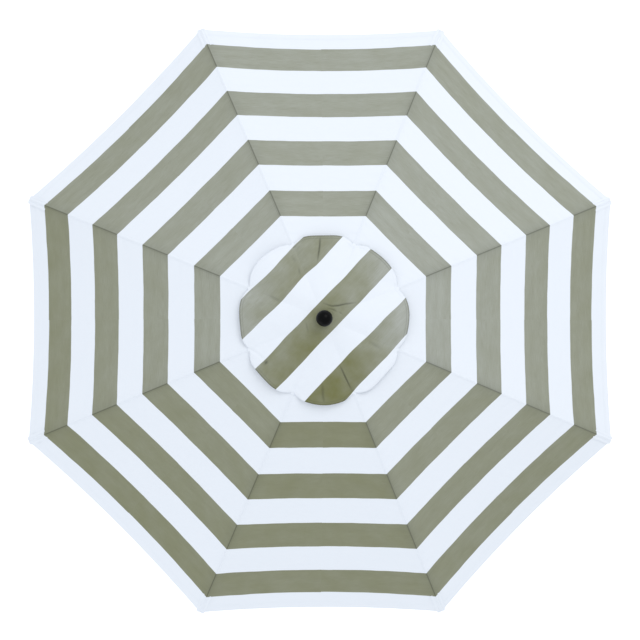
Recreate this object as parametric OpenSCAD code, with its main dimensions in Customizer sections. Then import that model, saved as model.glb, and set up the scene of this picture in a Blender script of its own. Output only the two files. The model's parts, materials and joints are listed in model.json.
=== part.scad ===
// Octagonal market umbrella with a crank lift, drawn open.
// Origin: centre of the pole's bottom end. +Z up. Ribs stand at 22.5 degrees and every 45 from there,
// so the canopy's straight hems face +X, +Y, -X and -Y and the four diagonals.
// A rib's own frame has X outward along the rib, Z up and Y along the rib's hinge pin.

/* [Canopy] */
// Distance from a rib's hinge pin to its tip
rib_len = 1360; // [1200:10:1500]
// Slope of a rib's chord below horizontal when open
rib_slope = 20; // [16:0.5:24]
// Rise of the bent rib above its chord
rib_bow = 25; // [10:1:40]
// Radius of the vent hole at the crown, measured along a rib
vent_r = 190; // [150:5:230]
// Radius where the vent cap is tied to the ribs
cap_tie_r = 320; // [280:1:340]
// How far the vent cap's lobes reach past its ties
cap_lobe = 25; // [5:1:30]
// How far the hem hangs below a straight line between two rib tips
hem_sag = 36; // [0:1:50]
// How far the hem curves inward between two rib tips
hem_bow = 16; // [0:1:20]

/* [Frame] */
// Height of the hub's rib hinges above the ground end of the pole
hub_z = 2500; // [2300:10:2600]
// Radius of the circle of rib hinges, on the hub and on the runner alike
hinge_r = 42; // [40:1:48]
// Diameter of a rib
rib_d = 10; // [8:0.5:10]
// Strut length, and the distance from the hub hinge to the strut's bracket on the rib
strut_len = 600; // [500:10:650]
// Slope of the line from hub hinge to strut bracket when open
strut_slope = 19.2; // [15:0.1:23]
// Diameter of a strut
strut_d = 9.4; // [8:0.2:9.4]

/* [Pole] */
// Outer diameter of the pole
pole_d = 38; // [38:1:40]
// Wall of the pole
pole_wall = 1.5; // [1.2:0.1:2]
// Height of the joint between the two pole sections
joint_z = 760; // [600:10:800]
// Height of the plastic collar that shows between the two sections
collar_h = 12; // [8:1:16]

/* [Crank] */
// Height of the crank's shaft
crank_z = 950; // [900:10:980]
// Distance between the crank's shaft and its knob
crank_arm_len = 100; // [80:5:110]

/* [Finial] */
// Diameter of the ball on top
ball_d = 66; // [50:1:70]

/* [Hidden] */

$fn = 48;
pin_r = 2;
pin_fit = 0.06;       // radial clearance of a hinge pin
gap = 0.3;            // clearance between pieces that move past each other
slide_gap = 0.4;      // clearance of the runner on the pole
eye_w = 9.4;          // width of a hinge eye
slot_w = eye_w + 2 * gap;
eye_r = 7;
lug_w = 4;
lug_r = 8;
pole_r = pole_d / 2;
bore_r = pole_r - pole_wall;
half = 22.5;          // half the angle between two ribs

// The bent rib: a circle through the hinge and the tip
chord_x = cos(rib_slope);
chord_z = -sin(rib_slope);
bend_r = (rib_len * rib_len / 4 + rib_bow * rib_bow) / (2 * rib_bow);
bend_half = asin(rib_len / 2 / bend_r);
bend_x = hinge_r + chord_x * rib_len / 2 - sin(rib_slope) * (bend_r - rib_bow);
bend_z = hub_z + chord_z * rib_len / 2 - cos(rib_slope) * (bend_r - rib_bow);
tip_r = hinge_r + chord_x * rib_len;

// The strut's two ends
bracket_x = hinge_r + strut_len * cos(strut_slope);
bracket_z = hub_z - strut_len * sin(strut_slope);
runner_z = hub_z - 2 * strut_len * sin(strut_slope);

// Height of a rib's centre line at a radius
function rib_z(r) = bend_z + sqrt(bend_r * bend_r - (r - bend_x) * (r - bend_x));
// Position along a rib, 0 at the hinge and 1 at the tip, as an angle on its circle
function bend_at(s) = 90 - rib_slope + bend_half - 2 * bend_half * s / rib_len;

module each_rib() {
    for (i = [1 : 8]) rotate(at(i)) children();
}
function at(i) = half + 45 * (i - 1);

// A profile swept along the bent rib, from s0 to s1 millimetres from the hinge
module along_rib(s0, s1) {
    translate([bend_x, 0, bend_z]) rotate([90, 0, 0]) rotate(bend_at(s1))
        rotate_extrude(angle = bend_at(s0) - bend_at(s1), $fn = 1440)
            translate([bend_r, 0]) children();
}

// A cylinder along Y, centred on the hinge line at x, z
module across(x, z, r, w) {
    translate([x, w / 2, z]) rotate([90, 0, 0]) cylinder(r = r, h = w);
}

/* Ribs and their fittings */

rib_start = 20;       // where the rod begins, inside the knuckle's socket
rib_end = rib_len - 4;
socket_len = 55;
socket_r = rib_d / 2 + 2.5;
bracket_len = 44;
ear_w = 3;
glue_gap = 0.1;

module rib(i) {
    color("black") rotate(at(i)) along_rib(rib_start, rib_end) circle(d = rib_d, $fn = 24);
}

// Places children on the bent rib, s millimetres from the hinge, with X along the rib outward
module on_rib(s) {
    turn = bend_at(s);
    translate([bend_x + bend_r * cos(turn), 0, bend_z + bend_r * sin(turn)])
        rotate([0, 90 - turn, 0]) children();
}

// A cylinder that lies along the rib from s0 to s1, straight, since the rib hardly bends over its length
module sleeve(s0, s1, r) {
    on_rib((s0 + s1) / 2) translate([(s0 - s1) / 2, 0, 0]) rotate([0, 90, 0]) cylinder(r = r, h = s1 - s0);
}

// A round socket on the rib from s0 to s1, bored for the rod from b0 to b1
module socket(s0, s1, b0, b1) {
    difference() {
        union() {
            sleeve(s0, s1, socket_r);
            children();
        }
        sleeve(b0, b1, rib_d / 2 + glue_gap);
    }
}

module knuckle() {
    difference() {
        socket(14, rib_start + socket_len, rib_start, rib_start + socket_len + 1)
            union() {
                across(hinge_r, hub_z, eye_r, eye_w);
                sleeve(4, 16, eye_w / 2 - 0.1);
            }
        across(hinge_r, hub_z, pin_r + pin_fit, 20);
    }
}

module bracket_ears() {
    height = rib_z(bracket_x) - 2 - bracket_z;
    for (side = [-1, 1]) {
        y = side * (slot_w + ear_w) / 2;
        translate([0, y, 0]) across(bracket_x, bracket_z, lug_r, ear_w);
        translate([bracket_x - lug_r, y - ear_w / 2, bracket_z]) cube([2 * lug_r, ear_w, height]);
    }
}

module strut_bracket() {
    s0 = strut_len - bracket_len / 2;
    s1 = strut_len + bracket_len / 2;
    socket(s0, s1, s0 - 1, s1 + 1) bracket_ears();
    across(bracket_x, bracket_z, pin_r, slot_w + 2 * ear_w - 0.4);
}

module tip_cap() {
    socket(rib_end - 40, rib_len, rib_end - 41, rib_end);
}

module rib_fittings(i) {
    color("#1c1c1e") rotate(at(i)) {
        knuckle();
        strut_bracket();
        tip_cap();
    }
}

/* Struts */

module strut(i) {
    color("black") rotate(at(i)) difference() {
        union() {
            across(hinge_r, runner_z, eye_r, eye_w);
            across(bracket_x, bracket_z, eye_r, eye_w);
            translate([hinge_r, 0, runner_z]) rotate([0, 90 - strut_slope, 0])
                cylinder(d = strut_d, h = strut_len);
        }
        across(hinge_r, runner_z, pin_r + pin_fit, 20);
        across(bracket_x, bracket_z, pin_r + pin_fit, 20);
    }
}

/* Top hub, pulley and finial */

hub_core_r = 33;
hub_low = 16;         // the hub reaches this far below its hinges
hub_high = 14;        // and this far above
crown_r = 40;
crown_t = 6;
cord_d = 3;
cord_in = 12;         // the cord runs this far from the axis inside the pole
cord_out = 26;        // and this far from it outside
pulley_x = (cord_in + cord_out) / 2;
pulley_r = (cord_out - cord_in) / 2 - cord_d / 2 - 0.1;
pulley_z = hub_z + 4;
pulley_w = 5;
pole_top = hub_z - 8;
stud_r = 4;
ball_z = hub_z + hub_high + crown_t + 12 + ball_d / 2;

// Eight pairs of lugs, for hinge pins at height z
module lugs(z) {
    root = hub_core_r - 6;
    each_rib() for (side = [-1, 1]) {
        y = side * (slot_w + lug_w) / 2;
        translate([0, y, 0]) across(hinge_r, z, lug_r, lug_w);
        translate([root, y - lug_w / 2, z - lug_r]) cube([hinge_r - root, lug_w, 2 * lug_r]);
    }
}

module pin_holes(z) {
    each_rib() across(hinge_r, z, pin_r, slot_w + 2 * lug_w + 1);
}

module pins(z) {
    each_rib() across(hinge_r, z, pin_r, slot_w + 2 * lug_w);
}

module top_hub() {
    color("#1c1c1e") difference() {
        union() {
            translate([0, 0, hub_z - hub_low]) cylinder(r = hub_core_r, h = hub_low + hub_high);
            translate([0, 0, hub_z + hub_high]) cylinder(r = crown_r, h = crown_t);
            lugs(hub_z);
        }
        translate([0, 0, hub_z - hub_low - 1]) cylinder(r = pole_r, h = pole_top - hub_z + hub_low + 1);
        translate([0, 0, pole_top - 1]) cylinder(r = bore_r, h = hub_z - pole_top - 1);
        translate([pulley_x - 10, -pulley_w / 2 - gap, pole_top])
            cube([20, pulley_w + 2 * gap, hub_z + hub_high - pole_top]);
        translate([cord_out, 0, hub_z - hub_low - 1]) cylinder(r = cord_d / 2 + 1, h = hub_low + 6);
        translate([pulley_x, 9, pulley_z]) rotate([90, 0, 0]) cylinder(r = pin_r, h = 18);
        pin_holes(hub_z);
        translate([0, 0, hub_z + 1]) cylinder(r = stud_r, h = hub_high + crown_t);
    }
}

module hub_pins() {
    color("silver") {
        pins(hub_z);
        translate([pulley_x, 9, pulley_z]) rotate([90, 0, 0]) cylinder(r = pin_r, h = 18);
    }
}

module pulley() {
    color("white") translate([pulley_x, 0, pulley_z]) rotate([90, 0, 0]) difference() {
        union() {
            cylinder(r = pulley_r, h = pulley_w, center = true);
            for (side = [-1, 1]) translate([0, 0, side * (pulley_w - 0.7) / 2])
                cylinder(r = pulley_r + 2.5, h = 0.7, center = true);
        }
        cylinder(r = pin_r + pin_fit, h = 20, center = true);
    }
}

module finial() {
    base = hub_z + hub_high + crown_t + 1.6;
    color("#0c0c0d") {
        translate([0, 0, ball_z]) sphere(d = ball_d);
        translate([0, 0, base]) cylinder(r = 17, h = 5);
        translate([0, 0, base + 5]) cylinder(r = 12, h = ball_z - base - 5);
        translate([0, 0, hub_z + 2]) cylinder(r = stud_r, h = base - hub_z);
    }
}

/* Runner and cord */

runner_low = 30;
runner_high = 18;
collar_r = 31;

module runner() {
    color("#1c1c1e") difference() {
        union() {
            translate([0, 0, runner_z - runner_low]) cylinder(r = 26, h = runner_low);
            translate([0, 0, runner_z - 10]) cylinder(r = hub_core_r, h = 20);
            translate([0, 0, runner_z]) cylinder(r = collar_r, h = runner_high);
            lugs(runner_z);
        }
        translate([0, 0, runner_z - runner_low - 1])
            cylinder(r = pole_r + slide_gap, h = runner_low + runner_high + 2);
        pin_holes(runner_z);
    }
}

module runner_pins() {
    color("silver") pins(runner_z);
}

ferrule_h = 14;

module cord_end() {
    color("silver") translate([cord_out, 0, runner_z + runner_high + gap]) difference() {
        cylinder(r = 4, h = ferrule_h);
        translate([0, 0, 2]) cylinder(r = cord_d / 2 + 0.05, h = ferrule_h);
    }
}

module lift_cord() {
    color("white") {
        translate([cord_in, 0, crank_z]) cylinder(d = cord_d, h = pulley_z - crank_z, $fn = 16);
        translate([cord_out, 0, runner_z + runner_high + 3])
            cylinder(d = cord_d, h = pulley_z - runner_z - runner_high - 3, $fn = 16);
        translate([pulley_x, 0, pulley_z]) rotate([90, 0, 0])
            rotate_extrude(angle = 180) translate([pulley_x - cord_in, 0]) circle(d = cord_d, $fn = 16);
    }
}

/* Pole */

neck_len = 120;       // the lower pole's neck, inside the upper pole
neck_r = bore_r - 0.1;
button_z = joint_z + 60;
button_r = 4;
button_out = 4;       // how far the button stands out of the pole
button_in = 10;       // distance of the button's inner face from the pole's axis

module tube(r_out, r_in, z0, z1) {
    translate([0, 0, z0]) difference() {
        cylinder(r = r_out, h = z1 - z0);
        translate([0, 0, -1]) cylinder(r = r_in, h = z1 - z0 + 2);
    }
}

module button_hole() {
    translate([0, 0, button_z]) rotate([0, 90, 0]) cylinder(r = button_r + gap, h = 30);
}

module pole_lower() {
    color("#161617") difference() {
        union() {
            tube(pole_r, bore_r, 0, joint_z);
            tube(neck_r, neck_r - pole_wall, joint_z - 20, joint_z + neck_len);
            tube(bore_r + 0.2, neck_r - 1, joint_z - 20, joint_z - 1);
        }
        button_hole();
    }
}

window_w = 31;
window_h = 40;

module pole_upper() {
    color("#161617") difference() {
        tube(pole_r, bore_r, joint_z + collar_h, pole_top);
        button_hole();
        translate([-window_w / 2, -30, crank_z - window_h / 2]) cube([window_w, 30, window_h]);
    }
}

module joint_collar() {
    color("#1c1c1e") tube(pole_r + 1.5, neck_r + 0.05, joint_z, joint_z + collar_h);
}

module pole_foot_plug() {
    color("#1c1c1e") {
        cylinder(r = bore_r, h = 4);
        tube(bore_r, bore_r - 3, 3, 30);
    }
}

module snap_button() {
    color("silver") translate([0, 0, button_z]) rotate([0, 90, 0]) {
        translate([0, 0, button_in]) cylinder(r = button_r + 1.5, h = 1.2);
        intersection() {
            translate([0, 0, button_in]) cylinder(r = button_r, h = pole_r + button_out - button_in);
            translate([0, 0, pole_r + button_out - 1.5 * button_r]) sphere(r = 1.5 * button_r);
        }
    }
}

// A leaf bent into a V, its fold low and one arm behind the button
module button_spring() {
    leaf = 0.8;
    leaf_w = 10;
    arm = 12;
    fold_x = -3;
    fold_z = -62;
    near = button_in - 0.05;
    far = sqrt(pow(neck_r - pole_wall, 2) - pow(leaf_w / 2, 2)) - gap;
    color("silver") translate([0, leaf_w / 2, button_z]) rotate([90, 0, 0]) linear_extrude(leaf_w)
        polygon([
            [near - leaf, arm], [near, arm], [near, -arm], [fold_x, fold_z], [-far, -arm], [-far, arm],
            [leaf - far, arm], [leaf - far, -arm], [fold_x, fold_z + 5 * leaf], [near - leaf, -arm]
        ]);
}

/* Crank */

house_w = 66;
house_h = 96;
house_front = 52;     // depth ahead of the pole's axis
house_back = 30;
shell = 3;
boss_start = 28;      // where the shaft's bearing boss begins, ahead of the pole's axis
shaft_r = 4;
spool_r = cord_in - cord_d / 2;
spool_w = 14;
screw_r = 2;
arm_y = -(house_front + gap + 1);
arm_t = 8;
knob_len = 55;
spindle_r = 3;        // the knob turns on it

module house_outline(inset) {
    r = 14;
    hull() for (x = [-1, 1], z = [-1, 1])
        translate([x * (house_w / 2 - r), z * (house_h / 2 - r)]) circle(r = r - inset, $fn = 32);
}

module screw_spots() {
    across = house_w / 2 - 8;
    up = house_h / 2 - 14;
    for (x = [-across, across], z = [-up, up])
        translate([x, 0, crank_z + z]) rotate([90, 0, 0]) children();
}

// A shell from y0 to y1, its open side toward the seam at y = 0
module house_shell(depth, inner) {
    difference() {
        linear_extrude(depth) house_outline(0);
        translate([0, 0, -1]) linear_extrude(inner + 1) house_outline(shell);
    }
}

module house_pole_hole() {
    translate([0, 0, crank_z - house_h]) cylinder(r = pole_r, h = 2 * house_h);
}

module crank_housing_front() {
    color("#1c1c1e") difference() {
        union() {
            translate([0, 0, crank_z]) rotate([90, 0, 0]) house_shell(house_front, house_front - shell);
            screw_spots() cylinder(r = 5, h = house_front - 1);
            translate([0, -boss_start, crank_z]) rotate([90, 0, 0])
                cylinder(r = shaft_r + 4, h = house_front - boss_start - 1);
        }
        house_pole_hole();
        screw_spots() translate([0, 0, -1]) cylinder(r = screw_r, h = 30);
        translate([0, 0, crank_z]) rotate([90, 0, 0]) cylinder(r = shaft_r + pin_fit, h = 100);
    }
}

module crank_housing_back() {
    color("#1c1c1e") difference() {
        union() {
            translate([0, 0, crank_z]) rotate([-90, 0, 0]) house_shell(house_back, house_back - shell);
            screw_spots() translate([0, 0, -house_back + 1]) cylinder(r = 5, h = house_back - 1);
        }
        house_pole_hole();
        screw_spots() {
            translate([0, 0, -house_back - 1]) cylinder(r = screw_r, h = house_back + 2);
            translate([0, 0, -house_back - 1]) cylinder(r = 4, h = 4);
        }
    }
}

module crank_housing_screws() {
    color("silver") screw_spots() {
        translate([0, 0, -house_back + 3]) cylinder(r = screw_r, h = house_back + 24);
        translate([0, 0, -house_back + 0.6]) cylinder(r = 3.7, h = 2.4);
    }
}

module crank_shaft() {
    color("silver") translate([0, spool_w / 2 + 3, crank_z]) rotate([90, 0, 0])
        cylinder(r = shaft_r, h = spool_w / 2 + 3 - arm_y + arm_t + 2);
}

module cord_spool() {
    color("white") translate([0, spool_w / 2, crank_z]) rotate([90, 0, 0]) difference() {
        union() {
            cylinder(r = spool_r, h = spool_w);
            for (z = [0, spool_w - 1.5]) translate([0, 0, z]) cylinder(r = 15, h = 1.5);
        }
        translate([0, 0, -1]) cylinder(r = shaft_r, h = spool_w + 2);
    }
}

module crank_arm() {
    color("#161617") translate([0, arm_y, crank_z]) rotate([90, 0, 0]) {
        difference() {
            union() {
                cylinder(r = 13, h = arm_t);
                translate([-8, -crank_arm_len, 0]) cube([16, crank_arm_len, arm_t]);
                translate([0, -crank_arm_len, 0]) cylinder(r = 11, h = arm_t);
            }
            translate([0, 0, -1]) cylinder(r = shaft_r, h = arm_t + 2);
        }
        translate([0, -crank_arm_len, arm_t]) cylinder(r = spindle_r, h = knob_len + 2);
        translate([0, -crank_arm_len, arm_t + knob_len + 1]) cylinder(r = 6, h = 2);
    }
}

module crank_knob() {
    color("#1c1c1e") translate([0, arm_y - arm_t - gap, crank_z - crank_arm_len]) rotate([90, 0, 0])
        difference() {
            rotate_extrude() polygon([
                [0, 0], [10, 0], [13, 4], [14, 20], [12, knob_len - 10], [9, knob_len], [0, knob_len]
            ]);
            translate([0, 0, -1]) cylinder(r = spindle_r + pin_fit, h = knob_len + 2);
        }
}

/* Cloth */

cloth = 1.4;          // thickness of the CAD's cloth
rib_clear = socket_r + 1.6;   // height of the cloth over a rib's centre line, clear of the fittings
seam_gap = 0.4;       // half the gap between two ribs' shares of the canopy
steps_out = 9;
steps_across = 8;

// Share of a full sag at an angle from the rib: 0 on the rib and 1 midway between ribs
function slack(a) = 1 - pow(tan(half - abs(a)) / tan(half), 2);

// A point of the canopy: u is the radius where its cross line meets the rib, a the angle from the rib
function canopy_pt(u, a, lift) =
    let (
        far = u / tip_r,
        r = u * cos(half) / cos(half - abs(a)) - hem_bow * pow(far, 3) * slack(a),
        trim = seam_gap * abs(a) / half
    ) [
        r * cos(a) - trim * sin(abs(a)), r * sin(a) - sign(a) * trim * cos(a),
        rib_z(u) + rib_clear - hem_sag * far * far * slack(a) + lift
    ];

// A closed sheet over a grid of (n + 1) by (m + 1) points, lower skin first
function sheet_faces(n, m) = let (w = m + 1, top = (n + 1) * (m + 1)) [
    for (i = [0 : n - 1], j = [0 : m - 1]) each [
        [i * w + j, (i + 1) * w + j, (i + 1) * w + j + 1],
        [i * w + j, (i + 1) * w + j + 1, i * w + j + 1],
        [top + i * w + j, top + (i + 1) * w + j + 1, top + (i + 1) * w + j],
        [top + i * w + j, top + i * w + j + 1, top + (i + 1) * w + j + 1]
    ],
    for (i = [0 : n - 1]) each [
        [i * w, top + i * w, top + (i + 1) * w], [i * w, top + (i + 1) * w, (i + 1) * w],
        [i * w + m, top + (i + 1) * w + m, top + i * w + m],
        [i * w + m, (i + 1) * w + m, top + (i + 1) * w + m]
    ],
    for (j = [0 : m - 1]) each [
        [j, j + 1, top + j + 1], [j, top + j + 1, top + j],
        [n * w + j, top + n * w + j + 1, n * w + j + 1],
        [n * w + j, top + n * w + j, top + n * w + j + 1]
    ]
];

hem_r = tip_r + 5;

module canopy(i) {
    points = [
        for (lift = [0, cloth], n = [0 : steps_out], m = [0 : steps_across])
            canopy_pt(vent_r + (hem_r - vent_r) * n / steps_out, -half + 2 * half * m / steps_across, lift)
    ];
    color(i % 2 == 0 ? "#e9ecf2" : "#98947f") rotate(at(i))
        polyhedron(points, sheet_faces(steps_out, steps_across));
}

cap_in = stud_r + 1.5;
cap_top = hub_z + hub_high + crown_t + 0.1;
cap_steps = 7;
cap_across = 48;
cap_over = 5;         // height of the cap's ties above the canopy
cap_lift = 12;        // extra height of its edge midway between ties

// A point of the vent cap: ring 0 is the hole's edge, ring 1 clears the hub's crown, the last is the hem
function cap_pt(n, turn, lift) =
    let (
        a = turn - 45 * round(turn / 45),
        out = max(0, (n - 1) / (cap_steps - 1)),
        flat = crown_r + 2,
        r = n == 0 ? cap_in : flat + (cap_tie_r + cap_lobe * slack(a) - flat) * out,
        low = rib_z(cap_tie_r) + rib_clear + cloth + cap_over + cap_lift * slack(a)
    ) [r * cos(turn + half), r * sin(turn + half), cap_top + (low - cap_top) * pow(out, 1.1) + lift];

function ring_faces(n, m) = let (top = (n + 1) * m) [
    for (i = [0 : n - 1], j = [0 : m - 1]) let (k = (j + 1) % m) each [
        [i * m + j, (i + 1) * m + j, (i + 1) * m + k], [i * m + j, (i + 1) * m + k, i * m + k],
        [top + i * m + j, top + (i + 1) * m + k, top + (i + 1) * m + j],
        [top + i * m + j, top + i * m + k, top + (i + 1) * m + k]
    ],
    for (j = [0 : m - 1]) let (k = (j + 1) % m) each [
        [j, k, top + k], [j, top + k, top + j],
        [n * m + j, top + n * m + k, n * m + k], [n * m + j, top + n * m + j, top + n * m + k]
    ]
];

module vent_cap() {
    points = [
        for (lift = [0, cloth], n = [0 : cap_steps], m = [0 : cap_across - 1])
            cap_pt(n, 360 * m / cap_across, lift)
    ];
    color("#e9ecf2") polyhedron(points, ring_faces(cap_steps, cap_across));
}

pole_lower();
pole_upper();
joint_collar();
pole_foot_plug();
snap_button();
button_spring();
crank_housing_front();
crank_housing_back();
crank_housing_screws();
crank_shaft();
cord_spool();
crank_arm();
crank_knob();
lift_cord();
cord_end();
top_hub();
hub_pins();
pulley();
runner();
runner_pins();
finial();
vent_cap();
for (i = [1 : 8]) {
    rib(i);
    rib_fittings(i);
    strut(i);
    canopy(i);
}
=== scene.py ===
import json
import math

import bpy
import numpy as np
from mathutils import Matrix, Vector, noise


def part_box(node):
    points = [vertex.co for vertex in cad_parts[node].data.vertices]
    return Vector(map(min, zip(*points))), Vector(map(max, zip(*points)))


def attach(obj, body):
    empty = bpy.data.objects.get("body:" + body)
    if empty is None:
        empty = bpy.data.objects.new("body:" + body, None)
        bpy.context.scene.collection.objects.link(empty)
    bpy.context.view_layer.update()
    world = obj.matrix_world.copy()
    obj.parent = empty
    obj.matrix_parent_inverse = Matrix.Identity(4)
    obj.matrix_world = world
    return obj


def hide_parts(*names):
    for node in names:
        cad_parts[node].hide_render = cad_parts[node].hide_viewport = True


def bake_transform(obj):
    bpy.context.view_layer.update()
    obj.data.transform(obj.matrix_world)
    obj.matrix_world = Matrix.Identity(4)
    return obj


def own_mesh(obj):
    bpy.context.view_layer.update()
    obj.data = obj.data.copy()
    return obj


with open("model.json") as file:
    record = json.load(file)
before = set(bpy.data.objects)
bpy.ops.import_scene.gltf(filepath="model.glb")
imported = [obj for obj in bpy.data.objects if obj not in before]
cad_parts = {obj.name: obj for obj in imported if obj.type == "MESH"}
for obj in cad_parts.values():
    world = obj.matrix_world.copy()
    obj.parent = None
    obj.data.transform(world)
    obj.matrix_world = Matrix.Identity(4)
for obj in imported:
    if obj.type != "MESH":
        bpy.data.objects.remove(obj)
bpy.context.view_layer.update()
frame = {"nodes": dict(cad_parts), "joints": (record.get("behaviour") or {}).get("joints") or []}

# ---------------------------------------------------------------- the CAD's driving sizes, in metres

RIBS = 8
HALF = math.pi / RIBS
JOINTS = {j["name"]: j for j in frame["joints"]}
HINGE = Vector(JOINTS["rib_1_fold"]["pos_m"])
HINGE_R = math.hypot(HINGE.x, HINGE.y)
HUB_Z = HINGE.z
RIB_LEN = 1.360
RIB_SLOPE = math.radians(20)
RIB_BOW = 0.025
SOCKET_R = 0.0075
VENT_R = 0.190
HEM_R = HINGE_R + RIB_LEN * math.cos(RIB_SLOPE) + 0.005
CLOTH_RISE = SOCKET_R + 0.0024
HEM_SAG = 0.036
HEM_BOW = 0.016
CROWN_R = 0.042
CAP_TIE_R = 0.320
CAP_LOBE = 0.025
CAP_HOLE = 0.0058
CAP_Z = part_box("top_hub")[1][2] + 0.0015
CLOTH_T = 0.0008

BEND_R = (RIB_LEN ** 2 / 4 + RIB_BOW ** 2) / (2 * RIB_BOW)
BEND_X = HINGE_R + math.cos(RIB_SLOPE) * RIB_LEN / 2 - math.sin(RIB_SLOPE) * (BEND_R - RIB_BOW)
BEND_Z = HUB_Z - math.sin(RIB_SLOPE) * RIB_LEN / 2 - math.cos(RIB_SLOPE) * (BEND_R - RIB_BOW)
# A gore's seam stands at this angle from its middle when the gore lies flat
GORE_HALF = math.asin(math.cos(RIB_SLOPE) * math.sin(HALF))

# The awning stripe: where the first coloured band starts along a gore, and each band's width
STRIPE_START = 0.3975
STRIPE_W = 0.1150


def rib_z(r):
    """Height of a rib's centre line at a radius."""
    return BEND_Z + np.sqrt(BEND_R ** 2 - (r - BEND_X) ** 2)


def rib_run(r):
    """Distance along a rib from its hinge to a radius."""
    first = np.arccos((HINGE_R - BEND_X) / BEND_R)
    return BEND_R * (first - np.arccos((r - BEND_X) / BEND_R))


def azimuth(i):
    return HALF + 2 * HALF * (i - 1)


def turned(points, angle):
    """The points, turned about the pole."""
    c, s = math.cos(angle), math.sin(angle)
    out = np.array(points, float)
    out[..., 0] = c * points[..., 0] - s * points[..., 1]
    out[..., 1] = s * points[..., 0] + c * points[..., 1]
    return out


def smooth(x, low, high):
    t = np.clip((x - low) / (high - low), 0, 1)
    return t * t * (3 - 2 * t)


def bump_field(points, scale, seed):
    """Perlin noise at each point of a grid, scale in metres."""
    flat = points.reshape(-1, 3)
    shift = Vector((seed * 7.31, seed * 3.17, seed * 5.73))
    values = [noise.noise(Vector(p) / scale + shift) for p in flat]
    return np.array(values).reshape(points.shape[:-1])


# ---------------------------------------------------------------- materials

def new_material(name, color, roughness):
    mat = bpy.data.materials.new(name)
    mat.use_nodes = True
    nodes = mat.node_tree.nodes
    shader = nodes["Principled BSDF"]
    shader.inputs["Base Color"].default_value = (*color, 1)
    shader.inputs["Roughness"].default_value = roughness
    return mat, nodes, mat.node_tree.links, shader


def math_node(nodes, links, operation, a, b=None):
    made = nodes.new("ShaderNodeMath")
    made.operation = operation
    for k, value in enumerate((a, b)):
        if value is None:
            continue
        if isinstance(value, (int, float)):
            made.inputs[k].default_value = value
        else:
            links.new(value, made.inputs[k])
    return made.outputs[0]


def noise_node(nodes, links, vector, scale, detail=3.0, stretch=(1, 1, 1)):
    mapping = nodes.new("ShaderNodeMapping")
    mapping.inputs["Scale"].default_value = stretch
    links.new(vector, mapping.inputs["Vector"])
    made = nodes.new("ShaderNodeTexNoise")
    made.inputs["Scale"].default_value = scale
    made.inputs["Detail"].default_value = detail
    links.new(mapping.outputs[0], made.inputs["Vector"])
    return made.outputs[0]


def mix_color(nodes, links, share, a, b):
    made = nodes.new("ShaderNodeMix")
    made.data_type = "RGBA"
    for socket, value in ((made.inputs[0], share), (made.inputs[6], a), (made.inputs[7], b)):
        if isinstance(value, (int, float)):
            socket.default_value = value
        elif isinstance(value, tuple):
            socket.default_value = (*value, 1)
        else:
            links.new(value, socket)
    return made.outputs[2]


def add_bump(nodes, links, shader, height, strength, distance):
    bump = nodes.new("ShaderNodeBump")
    bump.inputs["Strength"].default_value = strength
    bump.inputs["Distance"].default_value = distance
    links.new(height, bump.inputs["Height"])
    links.new(bump.outputs[0], shader.inputs["Normal"])


WHITE = (0.79, 0.835, 0.90)
WHITE_SHADE = (0.72, 0.775, 0.865)
# The coloured yarn, greyer and lighter where the sun has faded it and where light is painted, and darker and
# olive where it is fresh and where shade is painted
FADED_AND_LIT = (0.392, 0.414, 0.385)
FRESH_AND_SHADED = (0.164, 0.170, 0.064)
# The dark threads spun into the coloured yarn, and the colour of dark seams and of painted shade in creases,
# on white and on coloured cloth
DARK_THREAD = (0.16, 0.16, 0.10)
SEAM_AND_SHADE_ON_WHITE = (0.72, 0.77, 0.845)
SEAM_AND_SHADE_ON_COLOR = (0.050, 0.055, 0.038)
# The weave's repeat, which is two threads, along and across the bands
WEAVE_ALONG = 0.0011
WEAVE_ACROSS = 0.0009


def stripe_mask(nodes, links, v, first):
    """1 in the coloured bands. v is the distance across the bands, and first where they start."""
    phase = math_node(nodes, links, "DIVIDE", math_node(nodes, links, "SUBTRACT", v, first), 2 * STRIPE_W)
    part = math_node(nodes, links, "FRACT", phase)
    # a soft step at each edge of the band, about one thread wide
    sharp = 2 * STRIPE_W / 0.0012
    up = math_node(nodes, links, "MULTIPLY", part, sharp)
    down = math_node(nodes, links, "MULTIPLY", math_node(nodes, links, "SUBTRACT", 0.5, part), sharp)
    edge = math_node(nodes, links, "MINIMUM", up, down)
    clamp = nodes.new("ShaderNodeClamp")
    links.new(edge, clamp.inputs[0])
    return clamp.outputs[0]


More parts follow.
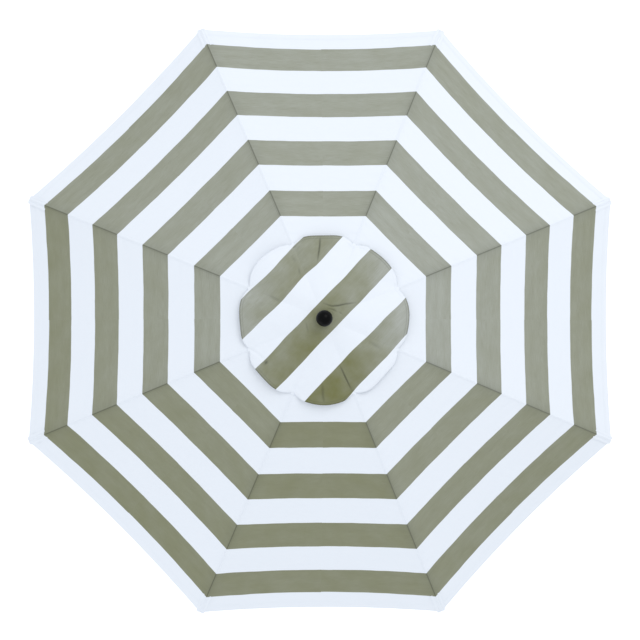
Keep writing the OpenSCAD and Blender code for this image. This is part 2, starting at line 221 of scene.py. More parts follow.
def awning_cloth(name, first, low, high, patchy):
    """Woven awning stripe.

    first is where a coloured band starts, low to high is where bands lie, and patchy is how unevenly
    the cloth has faded.
    """
    mat, nodes, links, shader = new_material(name, WHITE, 0.88)
    shader.inputs["Sheen Weight"].default_value = 0.06
    shader.inputs["Sheen Roughness"].default_value = 0.5
    shader.inputs["Specular IOR Level"].default_value = 0.25
    uv = nodes.new("ShaderNodeUVMap")
    uv.uv_map = "weave"
    split = nodes.new("ShaderNodeSeparateXYZ")
    links.new(uv.outputs[0], split.inputs[0])
    u, v = split.outputs[0], split.outputs[1]

    wander = noise_node(nodes, links, uv.outputs[0], 9.0, 2.0, (1.0, 0.6, 1.0))
    wander = math_node(nodes, links, "MULTIPLY", math_node(nodes, links, "SUBTRACT", wander, 0.5), 0.006)
    v_bent = math_node(nodes, links, "ADD", v, wander)
    inside = math_node(nodes, links, "MULTIPLY", math_node(nodes, links, "GREATER_THAN", v, low),
                       math_node(nodes, links, "LESS_THAN", v, high))
    mask = math_node(nodes, links, "MULTIPLY", stripe_mask(nodes, links, v_bent, first), inside)

    # slubs and melange: long thin streaks along the bands
    streak = noise_node(nodes, links, uv.outputs[0], 1.0, 4.0, (26.0, 520.0, 1.0))
    broad = noise_node(nodes, links, uv.outputs[0], 1.0, 3.0, (5.0, 42.0, 1.0))
    fine = noise_node(nodes, links, uv.outputs[0], 1.0, 1.0, (900.0, 900.0, 1.0))
    blend = math_node(nodes, links, "ADD", math_node(nodes, links, "MULTIPLY", streak, 0.62),
                      math_node(nodes, links, "MULTIPLY", broad, 0.38))
    # the tone attribute is painted light and shade: lighter and greyer towards +Y, darker and more olive
    # towards −Y; the noise patches are uneven fading
    light_and_fade = nodes.new("ShaderNodeAttribute")
    light_and_fade.attribute_name = "light_and_fade"
    patch = noise_node(nodes, links, uv.outputs[0], 11.0, 3.0)
    patch = math_node(nodes, links, "MULTIPLY", math_node(nodes, links, "SUBTRACT", patch, 0.5), patchy)
    fade_and_light_share = nodes.new("ShaderNodeClamp")
    links.new(math_node(nodes, links, "ADD", light_and_fade.outputs["Fac"], patch), fade_and_light_share.inputs[0])
    yarn = mix_color(nodes, links, fade_and_light_share.outputs[0], FRESH_AND_SHADED, FADED_AND_LIT)
    grain = math_node(nodes, links, "MULTIPLY", math_node(nodes, links, "SUBTRACT", blend, 0.5), 2.4)
    grain = math_node(nodes, links, "ADD", grain, math_node(nodes, links, "SUBTRACT", fine, 0.5))
    darker = nodes.new("ShaderNodeClamp")
    grain = math_node(nodes, links, "MULTIPLY", grain, 0.45)
    links.new(math_node(nodes, links, "ADD", grain, 0.15), darker.inputs[0])
    taupe = mix_color(nodes, links, darker.outputs[0], yarn, DARK_THREAD)
    pale = mix_color(nodes, links, math_node(nodes, links, "MULTIPLY", blend, 0.5), WHITE, WHITE_SHADE)
    color = mix_color(nodes, links, mask, pale, taupe)

    # dark seam and hem lines, a broad darkening near each rib, and painted shade in the cap's creases, its
    # puckers at the ties and along its rolled edge: the attribute is 1 where they are darkest
    seam = nodes.new("ShaderNodeAttribute")
    seam.attribute_name = "seam"
    shade = math_node(nodes, links, "MULTIPLY", seam.outputs["Fac"], 0.72)
    seam_and_shade_color = mix_color(nodes, links, mask, SEAM_AND_SHADE_ON_WHITE, SEAM_AND_SHADE_ON_COLOR)
    color = mix_color(nodes, links, shade, color, seam_and_shade_color)
    links.new(color, shader.inputs["Base Color"])

    # plain weave: warp over weft
    warp = math_node(nodes, links, "SINE", math_node(nodes, links, "MULTIPLY", u, 2 * math.pi / WEAVE_ALONG))
    weft = math_node(nodes, links, "SINE", math_node(nodes, links, "MULTIPLY", v, 2 * math.pi / WEAVE_ACROSS))
    weave = math_node(nodes, links, "MULTIPLY", warp, weft)
    relief = math_node(nodes, links, "ADD", weave, math_node(nodes, links, "MULTIPLY", streak, 1.5))
    add_bump(nodes, links, shader, relief, 0.22, 0.0002)
    return mat


def powder_coat(name):
    mat, nodes, links, shader = new_material(name, (0.018, 0.018, 0.020), 0.42)
    shader.inputs["Coat Weight"].default_value = 0.15
    shader.inputs["Coat Roughness"].default_value = 0.3
    where = nodes.new("ShaderNodeTexCoord").outputs["Object"]
    grain = noise_node(nodes, links, where, 900.0, 2.0)
    dust = noise_node(nodes, links, where, 14.0, 4.0)
    color = mix_color(nodes, links, math_node(nodes, links, "MULTIPLY", dust, 0.35),
                      (0.014, 0.014, 0.016), (0.05, 0.05, 0.052))
    links.new(color, shader.inputs["Base Color"])
    rough = math_node(nodes, links, "ADD", math_node(nodes, links, "MULTIPLY", dust, 0.18), 0.32)
    links.new(rough, shader.inputs["Roughness"])
    add_bump(nodes, links, shader, grain, 0.18, 0.0004)
    return mat


def moulded_plastic(name, color, pale, roughness):
    mat, nodes, links, shader = new_material(name, color, roughness)
    where = nodes.new("ShaderNodeTexCoord").outputs["Object"]
    grain = noise_node(nodes, links, where, 1500.0, 2.0)
    haze = noise_node(nodes, links, where, 30.0, 3.0)
    tint = mix_color(nodes, links, math_node(nodes, links, "MULTIPLY", haze, 0.5), color, pale)
    links.new(tint, shader.inputs["Base Color"])
    rough = math_node(nodes, links, "ADD", math_node(nodes, links, "MULTIPLY", haze, 0.15), roughness - 0.07)
    links.new(rough, shader.inputs["Roughness"])
    add_bump(nodes, links, shader, grain, 0.25, 0.0003)
    return mat


def fibreglass(name):
    mat, nodes, links, shader = new_material(name, (0.012, 0.012, 0.013), 0.28)
    where = nodes.new("ShaderNodeTexCoord").outputs["Object"]
    fibre = noise_node(nodes, links, where, 60.0, 4.0, (1, 1, 14))
    color = mix_color(nodes, links, math_node(nodes, links, "MULTIPLY", fibre, 0.4),
                      (0.010, 0.010, 0.011), (0.045, 0.045, 0.045))
    links.new(color, shader.inputs["Base Color"])
    rough = math_node(nodes, links, "ADD", math_node(nodes, links, "MULTIPLY", fibre, 0.2), 0.2)
    links.new(rough, shader.inputs["Roughness"])
    add_bump(nodes, links, shader, fibre, 0.12, 0.0004)
    return mat


def plated_steel(name):
    mat, nodes, links, shader = new_material(name, (0.56, 0.56, 0.57), 0.34)
    shader.inputs["Metallic"].default_value = 1.0
    where = nodes.new("ShaderNodeTexCoord").outputs["Object"]
    spangle = noise_node(nodes, links, where, 420.0, 3.0)
    color = mix_color(nodes, links, spangle, (0.44, 0.44, 0.46), (0.66, 0.66, 0.66))
    links.new(color, shader.inputs["Base Color"])
    rough = math_node(nodes, links, "ADD", math_node(nodes, links, "MULTIPLY", spangle, 0.25), 0.22)
    links.new(rough, shader.inputs["Roughness"])
    add_bump(nodes, links, shader, spangle, 0.1, 0.0002)
    return mat


def polished_ball(name):
    mat, nodes, links, shader = new_material(name, (0.003, 0.003, 0.004), 0.16)
    shader.inputs["Specular IOR Level"].default_value = 0.07
    where = nodes.new("ShaderNodeTexCoord").outputs["Object"]
    haze = noise_node(nodes, links, where, 45.0, 4.0)
    rough = math_node(nodes, links, "ADD", math_node(nodes, links, "MULTIPLY", haze, 0.16), 0.22)
    links.new(rough, shader.inputs["Roughness"])
    color = mix_color(nodes, links, haze, (0.001, 0.0012, 0.0015), (0.003, 0.0034, 0.004))
    links.new(color, shader.inputs["Base Color"])
    return mat


def braid(name):
    mat, nodes, links, shader = new_material(name, (0.70, 0.68, 0.62), 0.8)
    shader.inputs["Sheen Weight"].default_value = 0.2
    uv = nodes.new("ShaderNodeUVMap")
    uv.uv_map = "weave"
    split = nodes.new("ShaderNodeSeparateXYZ")
    links.new(uv.outputs[0], split.inputs[0])
    around, along = split.outputs[0], split.outputs[1]
    turn = math_node(nodes, links, "MULTIPLY", along, 2 * math.pi / 0.006)
    ring = math_node(nodes, links, "MULTIPLY", around, 2 * math.pi * 4)
    left = math_node(nodes, links, "SINE", math_node(nodes, links, "ADD", ring, turn))
    right = math_node(nodes, links, "SINE", math_node(nodes, links, "SUBTRACT", ring, turn))
    strands = math_node(nodes, links, "MAXIMUM", left, right)
    # painted shade: the braid is darker in the grooves between its strands
    share = math_node(nodes, links, "MULTIPLY", math_node(nodes, links, "ADD", strands, 1.0), 0.5)
    color = mix_color(nodes, links, share, (0.40, 0.38, 0.33), (0.74, 0.72, 0.66))
    links.new(color, shader.inputs["Base Color"])
    add_bump(nodes, links, shader, strands, 0.5, 0.0004)
    return mat


def white_floor(name):
    mat, _, _, shader = new_material(name, (0.93, 0.93, 0.93), 0.9)
    shader.inputs["Emission Color"].default_value = (1, 1, 1, 1)
    shader.inputs["Emission Strength"].default_value = 0.30
    return mat


CANOPY_CLOTH = awning_cloth(
    "canopy_cloth", STRIPE_START, STRIPE_START - 0.05, STRIPE_START + 7.5 * STRIPE_W, 0.25)
CAP_CLOTH = awning_cloth("cap_cloth", -0.5 * STRIPE_W, -2.9 * STRIPE_W, 2.9 * STRIPE_W, 0.8)
POWDER = powder_coat("powder_coat")
PLASTIC = moulded_plastic("moulded_plastic", (0.018, 0.018, 0.019), (0.04, 0.04, 0.041), 0.48)
ACETAL = moulded_plastic("acetal", (0.72, 0.71, 0.67), (0.62, 0.61, 0.56), 0.40)
FIBRE = fibreglass("fibreglass")
STEEL = plated_steel("plated_steel")
BALL = polished_ball("polished_ball")
BRAID = braid("braid")

# ---------------------------------------------------------------- mesh helpers

def shell(name, top, uv, thick, mat, shades=None, wrap=False):
    """A closed thin mesh under a grid of points. uv is in metres, and shades holds 0 to 1 values by name."""
    n, m = top.shape[:2]
    along = np.gradient(top, axis=0)
    if wrap:
        across = (np.roll(top, -1, axis=1) - np.roll(top, 1, axis=1)) / 2
    else:
        across = np.gradient(top, axis=1)
    normal = np.cross(along, across)
    normal /= np.linalg.norm(normal, axis=2, keepdims=True) + 1e-12
    low = top - normal * thick
    verts = np.vstack([top.reshape(-1, 3), low.reshape(-1, 3)])
    k = n * m
    columns = m if wrap else m - 1
    faces, rims = [], []
    for i in range(n - 1):
        for j in range(columns):
            a, b = i * m + j, i * m + (j + 1) % m
            c, d = a + m, b + m
            faces.append((a, c, d, b))
            faces.append((k + a, k + b, k + d, k + c))
    for j in range(columns):
        a, b = j, (j + 1) % m
        faces.append((a, b, k + b, k + a))
        rims += [(a, b), (k + a, k + b)]
        a, b = (n - 1) * m + j, (n - 1) * m + (j + 1) % m
        faces.append((b, a, k + a, k + b))
        rims += [(a, b), (k + a, k + b)]
    if not wrap:
        for i in range(n - 1):
            a, b = i * m, (i + 1) * m
            faces.append((b, a, k + a, k + b))
            rims += [(a, b), (k + a, k + b)]
            a, b = i * m + m - 1, (i + 1) * m + m - 1
            faces.append((a, b, k + b, k + a))
            rims += [(a, b), (k + a, k + b)]
    mesh = bpy.data.meshes.new(name)
    mesh.from_pydata(verts.tolist(), [], faces)
    mesh.update()
    obj = bpy.data.objects.new(name, mesh)
    bpy.context.scene.collection.objects.link(obj)
    mesh.polygons.foreach_set("use_smooth", [True] * len(mesh.polygons))
    rim_set = {tuple(sorted(r)) for r in rims}
    sharp = mesh.attributes.new("sharp_edge", "BOOLEAN", "EDGE")
    sharp.data.foreach_set("value", [tuple(sorted(e.vertices)) in rim_set for e in mesh.edges])
    layer = mesh.uv_layers.new(name="weave")
    flat_uv = np.vstack([uv.reshape(-1, 2), uv.reshape(-1, 2)])
    corner = np.empty(len(mesh.loops), int)
    mesh.loops.foreach_get("vertex_index", corner)
    layer.data.foreach_set("uv", flat_uv[corner].astype(np.float32).ravel())
    for shade, values in (shades or {"seam": np.zeros((n, m)), "light_and_fade": np.full((n, m), 0.4)}).items():
        both = np.concatenate([values.ravel(), values.ravel()]).astype(np.float32)
        mesh.attributes.new(shade, "FLOAT", "POINT").data.foreach_set("value", both)
    mesh.materials.append(mat)
    return obj


def tube(name, path, radius, mat, sides=12):
    """A round cord along a list of points, closed at both ends."""
    path = np.array(path, float)
    run = np.concatenate([[0], np.cumsum(np.linalg.norm(np.diff(path, axis=0), axis=1))])
    verts, uvs = [], []
    for k, point in enumerate(path):
        ahead = path[min(k + 1, len(path) - 1)] - path[max(k - 1, 0)]
        ahead /= np.linalg.norm(ahead)
        side = np.cross(ahead, (0, 1, 0))
        side /= np.linalg.norm(side)
        other = np.cross(ahead, side)
        for j in range(sides):
            a = 2 * math.pi * j / sides
            verts.append(point + radius * (math.cos(a) * side + math.sin(a) * other))
            uvs.append((j / sides, run[k]))
    faces = []
    for k in range(len(path) - 1):
        for j in range(sides):
            a, b = k * sides + j, k * sides + (j + 1) % sides
            faces.append((a, b, b + sides, a + sides))
    faces.append(tuple(reversed(range(sides))))
    faces.append(tuple(range((len(path) - 1) * sides, len(path) * sides)))
    mesh = bpy.data.meshes.new(name)
    mesh.from_pydata([tuple(v) for v in verts], [], faces)
    mesh.update()
    mesh.polygons.foreach_set("use_smooth", [len(p.vertices) == 4 for p in mesh.polygons])
    layer = mesh.uv_layers.new(name="weave")
    for loop in mesh.loops:
        layer.data[loop.index].uv = uvs[loop.vertex_index]
    obj = bpy.data.objects.new(name, mesh)
    bpy.context.scene.collection.objects.link(obj)
    mesh.materials.append(mat)
    return obj


# ---------------------------------------------------------------- canopy

SEAM_HALF = 0.0065
HEM_W = 0.024
# How far the bands are drawn in at the middle of a panel's hem
BAND_DRAW = 0.0055
ROWS = 150
COLS = 22


def panel_mood(p):
    """Small steady differences between the eight panels: sag share, and two phases."""
    return 1 + 0.16 * math.sin(2.4 * p + 0.7), 1.7 * p, 2.9 * p + 1.1


def canopy_grid(i):
    """Points, weave coordinates, seam shade, and the painted light and shade in the yarn's tone, of one rib's
    share of the canopy.
    """
    u = np.concatenate([
        np.linspace(VENT_R, VENT_R + 0.014, 3),
        np.linspace(VENT_R + 0.016, HEM_R - HEM_W - 0.0015, ROWS),
        [HEM_R - HEM_W, HEM_R - HEM_W / 2, HEM_R - 0.0012, HEM_R],
    ])
    near = np.array([0, 0.003, SEAM_HALF - 0.0012, SEAM_HALF, SEAM_HALF + 0.0025, 0.014, 0.021])
    sides = []
    for side in (-1, 1):
        reach = u * math.sin(HALF)
        spread = np.linspace(0, 1, COLS + 1)[1:]
        q = np.concatenate([
            np.repeat(near[None, :], len(u), axis=0),
            near[-1] + (reach[:, None] - near[-1]) * spread[None, :] ** 0.92,
        ], axis=1)
        sag_share, phase_a, phase_b = panel_mood(i - 1 if side > 0 else i - 2)
        far = (u / HEM_R)[:, None]
        t = 1 - q / reach[:, None]
        slack = 1 - t ** 2
        bow = HEM_BOW * far ** 3 * slack
        x = u[:, None] - q * math.sin(HALF) - bow * math.cos(HALF)
        y = q * math.cos(HALF) - bow * math.sin(HALF)
        z = rib_z(u)[:, None] + CLOTH_RISE - HEM_SAG * sag_share * far ** 2 * slack
        # ripples that the sewing thread draws up beside the seam, fading into the panel
        run = rib_run(u)[:, None]
        ripple = np.sin(run * 140 + phase_a) + 0.7 * np.sin(run * 93 + phase_b)
        z += 0.00055 * ripple * np.exp(-((q - 0.022) / 0.020) ** 2)
        # long soft waves across the panel, still at its middle
        wave = np.sin(run * 23 + phase_b) * np.sin(math.pi * np.clip(q / reach[:, None], 0, 1)) ** 2
        z += 0.0012 * wave * far
        # the double hem and the flat-felled seam stand proud
        hem = smooth(u, HEM_R - HEM_W - 0.0014, HEM_R - HEM_W)[:, None]
        flutter = np.sin(q * 46 + phase_a) * (1 - t) * t * 4
        z += 0.0006 * hem + 0.0016 * flutter * smooth(u, HEM_R - 0.12, HEM_R)[:, None]
        z += 0.0008 * (1 - smooth(q, SEAM_HALF - 0.0012, SEAM_HALF))
        # the bands are drawn in a little at the panel's middle, most near the hem
        cloth_v = rib_run(u)[:, None] * math.cos(GORE_HALF) + BAND_DRAW * far ** 4 * slack
        cloth_u = side * q / math.cos(HALF) * math.cos(GORE_HALF)
        # the joint line itself, one row of topstitching beside it, and a broad darkening near a rib
        shade = 0.9 * np.exp(-(q / 0.0024) ** 2) + 0.16 * np.exp(-(q / 0.030) ** 2)
        if side > 0:
            shade = np.maximum(shade, 0.35 * np.exp(-((q - SEAM_HALF) / 0.0012) ** 2))
        hem_line = np.exp(-((u[:, None] - HEM_R + HEM_W + 0.001) / 0.0016) ** 2)
        shade = np.clip(np.maximum(shade, 0.3 * hem_line + 0 * q), 0, 1)
        # painted light and shade: panels facing +Y, and a little those facing +X, are lighter and greyer, and
        # those facing −Y darker and more olive; panels facing ±X differ again from those facing ±Y, and most
        # grow darker towards the hem
        facing = math.sin(azimuth(i) + side * HALF)
        across = math.cos(azimuth(i) + side * HALF)
        twice = math.cos(2 * (azimuth(i) + side * HALF))
        light_and_fade = 0.75 + 0.21 * facing + 0.07 * across + 0.27 * twice - (0.20 + 0.26 * twice) * u[:, None]
        light_and_fade = np.clip(light_and_fade + 0 * q, 0, 1)
        sides.append((np.stack([x, side * y, z], axis=2), np.stack([cloth_u, cloth_v], axis=2), shade, light_and_fade))
    joined = [
        np.concatenate([left[:, :0:-1], right], axis=1)
        for left, right in zip(sides[0], sides[1])
    ]
    return joined


def make_canopy():
    for i in range(1, RIBS + 1):
        points, uv, seam, light_and_fade = canopy_grid(i)
        shades = {"seam": seam, "light_and_fade": light_and_fade}
        obj = shell(f"canopy_cloth_{i}", turned(points, azimuth(i)), uv, CLOTH_T, CANOPY_CLOTH, shades)
        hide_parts(f"canopy_{i}")
        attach(obj, f"rib_{i}")
        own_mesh(obj)


# ---------------------------------------------------------------- vent cap

CAP_EDGE_Z = rib_z(CAP_TIE_R) + CLOTH_RISE + 0.0030
CAP_LIFT = 0.0055
CAP_MEAN_R = CAP_TIE_R + 0.6 * CAP_LOBE
BAND_TURN = math.radians(46)
# Each crease: its depth, its half width, how much shade lies in it, and its path from above, in metres
CREASES = (
    (0.0034, 0.0032, 0.95, ((-0.013, 0.330), (-0.016, 0.290), (-0.025, 0.230))),
    (0.0034, 0.0032, 0.95, ((0.113, -0.286), (0.088, -0.236), (0.064, -0.186))),
    (0.0030, 0.0050, 0.50, ((0.002, -0.340), (-0.003, -0.300), (-0.005, -0.262))),
    (0.0026, 0.0034, 0.90,
     ((-0.002, 0.060), (0.030, 0.049), (0.056, 0.051), (0.085, 0.058), (0.125, 0.063))),
    (0.0018, 0.0026, 0.50, ((0.016, 0.040), (0.036, 0.035), (0.052, 0.026))),
    (0.0014, 0.0030, 0.35, ((0.058, 0.027), (0.074, 0.016))),
    (0.0018, 0.0034, 0.30, ((-0.072, -0.016), (-0.062, -0.054))),
    (0.0022, 0.0040, 0.35, ((-0.100, 0.204), (-0.096, 0.176))),
    (0.0022, 0.0070, 0.25, ((-0.218, 0.092), (-0.170, 0.066))),
    (0.0022, 0.0080, 0.20, ((-0.125, 0.250), (-0.112, 0.225))),
    (0.0030, 0.0065, 0.85, ((-0.236, -0.182), (-0.224, -0.168))),
    (0.0026, 0.0080, 0.22, ((0.180, -0.090), (0.232, -0.122))),
    (0.0022, 0.0045, 0.25, ((-0.312, -0.112), (-0.262, -0.140), (-0.235, -0.168))),
    (0.0024, 0.0045, 0.30, ((-0.140, -0.288), (-0.118, -0.306), (-0.094, -0.318))),
)
# Where a crease throws up a soft ridge beside it: its place, its reach and its height
SWELLS = ((-0.040, 0.280, 0.016, 0.0030), (0.050, -0.250, 0.026, 0.0030), (0.040, 0.075, 0.016, 0.0022))


def cap_edge(turn):
    """The cap's outline: drawn in at its eight ties, and full between them."""
    a = (turn - HALF) % (2 * HALF)
    a = np.minimum(a, 2 * HALF - a) / HALF
    outline = np.sin(a * math.pi / 2) ** 0.8
    uneven = 0.0035 * np.sin(turn * 3 + 0.6) + 0.0025 * np.sin(turn * 5 + 2.0) + 0.002 * np.sin(turn * 11)
    # a lobe's middle is nearly straight
    straight = CAP_TIE_R * (1 / np.cos(np.clip(1 - a, 0, 0.62) * HALF) - 1) * outline
    edge = CAP_TIE_R + (CAP_LOBE - 0.004) * outline + straight + uneven * outline
    return edge, np.sin(a * math.pi / 2) ** 2


def path_distance(x, y, path):
    """Distance from each point to a path, and how far the point lies inside its ends, 0 to 1."""
    best = np.full(x.shape, 1e9)
    share = np.zeros(x.shape)
    last = len(path) - 1
    for k in range(last):
        (x0, y0), (x1, y1) = path[k], path[k + 1]
        long = (x1 - x0) ** 2 + (y1 - y0) ** 2
        t = np.clip(((x - x0) * (x1 - x0) + (y - y0) * (y1 - y0)) / long, 0, 1)
        away = np.hypot(x - x0 - t * (x1 - x0), y - y0 - t * (y1 - y0))
        share = np.where(away < best, (k + t) / last, share)
        best = np.minimum(best, away)
    return best, np.sin(math.pi * np.clip(share, 0.04, 0.96)) ** 0.6


def cap_relief(x, y, r, edge, turn):
    """Height that folds, puckers and creases add to the cap, and the shade that lies in them."""
    # puckers that fan out of each tie
    a = (turn - HALF) % (2 * HALF)
    a = np.where(a > HALF, a - 2 * HALF, a)
    index = np.round((turn - HALF) / (2 * HALF)) % RIBS
    side = r * np.sin(a)
    back = edge - r * np.cos(a)
    reach = np.hypot(side, back) + 1e-6
    fan = np.arctan2(side, back + 0.010)
    z = 0.0030 * np.cos(fan * 6 + index * 1.9) * np.exp(-reach / 0.038) * smooth(reach, 0.0, 0.025)
    shade = 0.5 * np.exp(-(np.hypot(side, back - 0.006) / 0.0045) ** 2)
    for depth, width, dark, path in CREASES:
        away, share = path_distance(x, y, path)
        z -= depth * share * np.exp(-(away / width) ** 2)
        z += 0.30 * depth * share * np.exp(-((away - 2.6 * width) / (1.6 * width)) ** 2)
        shade = np.maximum(shade, dark * share * np.exp(-(away / (0.85 * width)) ** 2))
    for x0, y0, size, height in SWELLS:
        z += height * np.exp(-(np.hypot(x - x0, y - y0) / size) ** 2)
    return z, shade


def cap_surface(f, turn):
    """The cap at share f of its radius and azimuth turn: position, weave coordinates and crease shade."""
    edge, lobe = cap_edge(turn)
    r = CAP_HOLE + (edge - CAP_HOLE) * f
    x, y = r * np.cos(turn), r * np.sin(turn)
    out = np.clip((r - CROWN_R) / (edge - CROWN_R), 0, 1)
    low = CAP_EDGE_Z + CAP_LIFT * lobe
    z = CAP_Z + (low - CAP_Z) * out ** 1.10
    z += 0.004 * lobe * np.sin(math.pi * out) ** 2
    relief, shade = cap_relief(x, y, r, edge, turn)
    z += relief * smooth(r, 0.036, 0.046)
    # uneven fullness, still at the hub and at the ties
    flat = np.stack([x, y, 0 * x], axis=-1)
    live = smooth(r, CROWN_R, CROWN_R + 0.05) * (1 - 0.8 * smooth(out, 0.8, 1) * (1 - lobe))
    z += (0.0040 * bump_field(flat, 0.095, 1) + 0.0018 * bump_field(flat, 0.042, 2)) * live
    # the bound edge, rolled over its cord
    bound = smooth(r, edge - 0.0125, edge - 0.0112)
    z += 0.0005 * bound - 0.0030 * smooth(r, edge - 0.006, edge) ** 2
    shade = np.maximum(shade, 0.35 * np.exp(-((r - edge + 0.0118) / 0.0013) ** 2))
    # painted shade along the rolled edge, darkest at its rim
    shade = np.maximum(shade, 0.75 * np.exp(-((r - edge) / 0.0042) ** 2))
    # cloth taken up in folds leaves the woven bands a little crooked
    angle = turn - BAND_TURN
    bent = 0.009 * bump_field(flat, 0.12, 5) * smooth(out, 0.15, 0.5)
    bent *= smooth(np.abs(r * np.sin(angle)), -0.02, 0.11)
    cloth = np.stack([r * np.cos(angle), r * np.sin(angle) + bent], axis=-1)
    return np.stack([x, y, z], axis=-1), cloth, shade


def cap_piece(name, f, turn, lift, wrap=False):
    grid_f, grid_turn = np.meshgrid(f, turn, indexing="ij")
    points, cloth, shade = cap_surface(grid_f, grid_turn)
    points[..., 2] += lift
    # painted light and shade: the cap's yarn is lighter and greyer towards +Y, a little towards +X and
    # towards both sides in x, and darker and more olive towards −Y
    light_and_fade = np.clip(0.30 + 0.8 * points[..., 1] + 0.2 * points[..., 0] + 6.0 * points[..., 0] ** 2, 0, 1)
    return shell(name, points, cloth, CLOTH_T, CAP_CLOTH, {"seam": shade, "light_and_fade": light_and_fade}, wrap)


def make_cap():
    # the round middle of the cap stays with the pole, and a sector rides each rib
    inner = 0.046
    f_in = (inner - CAP_HOLE) / (CAP_MEAN_R - CAP_HOLE)
    around = np.linspace(0, 2 * math.pi, 193)[:-1]
    disc = cap_piece("cap_crown", np.linspace(0, f_in, 20), around, 0, True)
    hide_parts("vent_cap")
    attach(disc, "pole")
    # the bound edge has rows of its own, set on its step and its roll
    edge_rows = [0.9636, 0.967, 0.974, 0.981, 0.987, 0.992, 0.996, 1.0]
    rows = np.concatenate([np.linspace(f_in, 0.960, 128), edge_rows])
    for i in range(1, RIBS + 1):
        turn = azimuth(i) + np.linspace(-HALF, HALF, 101)
        obj = cap_piece(f"cap_cloth_{i}", rows, turn, 0)
        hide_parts("vent_cap")
        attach(obj, f"rib_{i}")
        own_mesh(obj)


def make_crown_patch():
    """A second layer under the cap's middle, which keeps the crown covered when the ribs fold."""
    low_r, high_r = 0.030, 0.112
    shares = (np.linspace(low_r, high_r, 24) - CAP_HOLE) / (CAP_MEAN_R - CAP_HOLE)
    for i in range(1, RIBS + 1):
        turn = azimuth(i) + np.linspace(-HALF, HALF, 33)
        obj = cap_piece(f"crown_patch_{i}", shares, turn, -0.0014)
        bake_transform(obj)


# ---------------------------------------------------------------- small cloth parts

def rib_point(run):
    """A point on a rib's centre line at a distance from the hinge, and the rib's slope there."""
    first = math.acos((HINGE_R - BEND_X) / BEND_R)
    turn = first - run / BEND_R
    return BEND_X + BEND_R * math.cos(turn), BEND_Z + BEND_R * math.sin(turn), math.pi / 2 - turn


# A tip pocket runs from this far inside the rib's end to a little past it
POCKET_LEN = 0.085
POCKET_PAST = 0.004


def make_tip_pockets():
    """A pocket sewn under each corner, which the rib's tip cap pushes into."""
    for i in range(1, RIBS + 1):
        runs = np.linspace(RIB_LEN - POCKET_LEN, RIB_LEN + POCKET_PAST, 22)
        arc = np.linspace(-1, 1, 25)
        grid = np.zeros((len(runs), len(arc), 3))
        uv = np.zeros((len(runs), len(arc), 2))
        for k, run in enumerate(runs):
            x, z, slope = rib_point(run)
            close = smooth(run, RIB_LEN - 0.012, RIB_LEN + POCKET_PAST)
            mouth = 1 - smooth(run, RIB_LEN - POCKET_LEN, RIB_LEN - 0.055)
            belly = (SOCKET_R + 0.0012 + 0.0022 * mouth) * (1 - 0.55 * close)
            for j, s in enumerate(arc):
                wing = abs(s)
                side = math.copysign(min(wing / 0.6, 1) ** 0.8 * belly + max(wing - 0.6, 0) * 0.030, s)
                drop = belly * math.cos(min(wing / 0.6, 1) * math.pi / 2)
                under = CLOTH_RISE - CLOTH_T - 0.0007 - 0.30 * max(abs(side) - 0.004, 0)
                height = under * smooth(wing, 0.42, 0.72) - drop * (1 - smooth(wing, 0.42, 0.72))
                grid[k, j] = (x + height * math.sin(slope), side, z + height * math.cos(slope))
                uv[k, j] = (s * 0.02, run - RIB_LEN)
        obj = shell(f"tip_pocket_{i}", turned(grid[:, ::-1], azimuth(i)), uv[:, ::-1], 0.0007, CANOPY_CLOTH)
        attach(obj, f"rib_{i}")


TIE_ROWS = 9
TIE_COLS = 7
TIE_STEP = 0.0022


def make_cap_ties():
    """A short tab that ties the cap's edge down to the canopy's seam."""
    for i in range(1, RIBS + 1):
        grid = np.zeros((TIE_ROWS, TIE_COLS, 3))
        uv = np.zeros((TIE_ROWS, TIE_COLS, 2))
        for k in range(TIE_ROWS):
            t = k / (TIE_ROWS - 1)
            r = CAP_TIE_R - 0.010 + 0.018 * t
            top = rib_z(r) + CLOTH_RISE + 0.0012
            high = (CAP_EDGE_Z - top) * (1 - smooth(t, 0.35, 0.85))
            for j in range(TIE_COLS):
                grid[k, j] = (r, (j - TIE_COLS // 2) * TIE_STEP, top + high + 0.0012)
                uv[k, j] = (j * TIE_STEP, 0.02 * t)
        obj = shell(f"cap_tie_{i}", turned(grid, azimuth(i)), uv, 0.0006, CANOPY_CLOTH)
        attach(obj, f"rib_{i}")


# ---------------------------------------------------------------- lift cord

def make_cord():
    """The lift cord: up inside the pole, over the hub's pulley and down outside to its ferrule."""
    low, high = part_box("lift_cord")
    radius = (high[1] - low[1]) / 2
    x_in, x_out = low[0] + radius, high[0] - radius
    pulley_z = JOINTS["pulley_spin"]["pos_m"][2]
    middle, bend = (x_in + x_out) / 2, (x_out - x_in) / 2
    inside = [(x_in, 0, low[2] + (pulley_z - low[2]) * t) for t in np.linspace(0, 1, 80)]
    over = [
        (middle - bend * math.cos(a), 0, pulley_z + bend * math.sin(a))
        for a in np.linspace(0, math.pi, 17)[1:]
    ]
    inner = tube("cord_inside", inside + over, radius, BRAID)
    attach(inner, "pole")
    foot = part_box("cord_end")[0][2] + 0.0025
    outside = [(x_out, 0, pulley_z + (foot - pulley_z) * t) for t in np.linspace(0, 1, 60)]
    outer = tube("cord_outside", outside, radius, BRAID)
    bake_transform(outer)
    for obj in (inner, outer):
        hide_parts("lift_cord")


# ---------------------------------------------------------------- CAD nodes' finishes

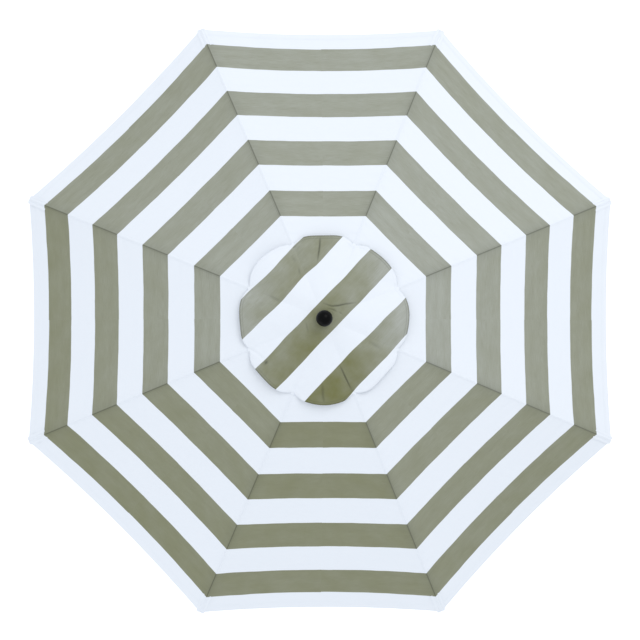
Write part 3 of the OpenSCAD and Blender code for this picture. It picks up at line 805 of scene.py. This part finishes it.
FINISHES = {
    "pole_lower": POWDER, "pole_upper": POWDER, "crank_arm": POWDER,
    "pole_foot_plug": PLASTIC, "joint_collar": PLASTIC,
    "crank_housing_front": PLASTIC, "crank_housing_back": PLASTIC,
    "crank_knob": PLASTIC, "top_hub": PLASTIC, "runner": PLASTIC,
    "snap_button": STEEL, "button_spring": STEEL, "crank_housing_screws": STEEL,
    "crank_shaft": STEEL, "cord_end": STEEL, "hub_pins": STEEL, "runner_pins": STEEL,
    "cord_spool": ACETAL, "pulley": ACETAL, "finial": BALL,
}


def finish_for(name):
    if name in FINISHES:
        return FINISHES[name]
    if name.startswith("rib_fittings"):
        return PLASTIC
    if name.startswith("rib_"):
        return FIBRE
    if name.startswith("strut_"):
        return POWDER
    return None


def paint_cad_nodes():
    for name, obj in frame["nodes"].items():
        mat = finish_for(name)
        if mat is None:
            continue
        for slot in obj.material_slots:
            slot.link = "OBJECT"
            slot.material = mat


# ---------------------------------------------------------------- stage

def make_floor():
    size = 14.0
    mesh = bpy.data.meshes.new("floor")
    corners = [(-size, -size, 0), (size, -size, 0), (size, size, 0), (-size, size, 0)]
    mesh.from_pydata(corners, [], [(0, 1, 2, 3)])
    floor = bpy.data.objects.new("floor", mesh)
    bpy.context.scene.collection.objects.link(floor)
    mesh.materials.append(white_floor("floor"))
    floor.location.z = -0.001


def soft_light(name, place, aim, size, watts, color):
    lamp = bpy.data.lights.new(name, "AREA")
    lamp.shape = "SQUARE"
    lamp.size = size
    lamp.energy = watts
    lamp.color = color
    obj = bpy.data.objects.new(name, lamp)
    bpy.context.scene.collection.objects.link(obj)
    obj.location = place
    obj.rotation_euler = (Vector(aim) - Vector(place)).to_track_quat("-Z", "Y").to_euler()
    obj.visible_camera = False


def make_lights():
    world = bpy.data.worlds.new("studio")
    bpy.context.scene.world = world
    world.use_nodes = True
    sky = world.node_tree.nodes["Background"]
    sky.inputs[0].default_value = (0.97, 0.985, 1.0, 1)
    sky.inputs[1].default_value = 0.92
    soft_light("key", (2.8, 4.6, 9.0), (0, 0, 2.2), 4.0, 190, (1.0, 0.99, 0.97))
    soft_light("fill", (-5.0, -6.0, 4.0), (0, 0, 1.5), 5.0, 60, (0.97, 0.98, 1.0))


# The camera looks almost straight down. Its height and its lean are from its aim, which is level with
# the hem and close to the pole
CAMERA_HEIGHT = 8.55
CAMERA_LEAN = (-0.21, -0.12)
CAMERA_AIM = (-0.004, 0.001)


def make_camera():
    camera = bpy.data.cameras.new("camera")
    camera.sensor_width = 36.0
    camera.lens = 114.3
    camera.clip_end = 60
    obj = bpy.data.objects.new("camera", camera)
    bpy.context.scene.collection.objects.link(obj)
    target = Vector((*CAMERA_AIM, rib_z(HEM_R)))
    obj.location = target + Vector((*CAMERA_LEAN, CAMERA_HEIGHT))
    # the picture's up is +Y
    back = (obj.location - target).normalized()
    right = Vector((0, 1, 0)).cross(back).normalized()
    obj.rotation_euler = Matrix((right, back.cross(right), back)).transposed().to_euler()
    bpy.context.scene.camera = obj


make_camera()
make_canopy()
make_cap()
make_crown_patch()
make_tip_pockets()
make_cap_ties()
make_cord()
paint_cad_nodes()
make_floor()
make_lights()
bpy.context.scene.view_settings.view_transform = "Standard"
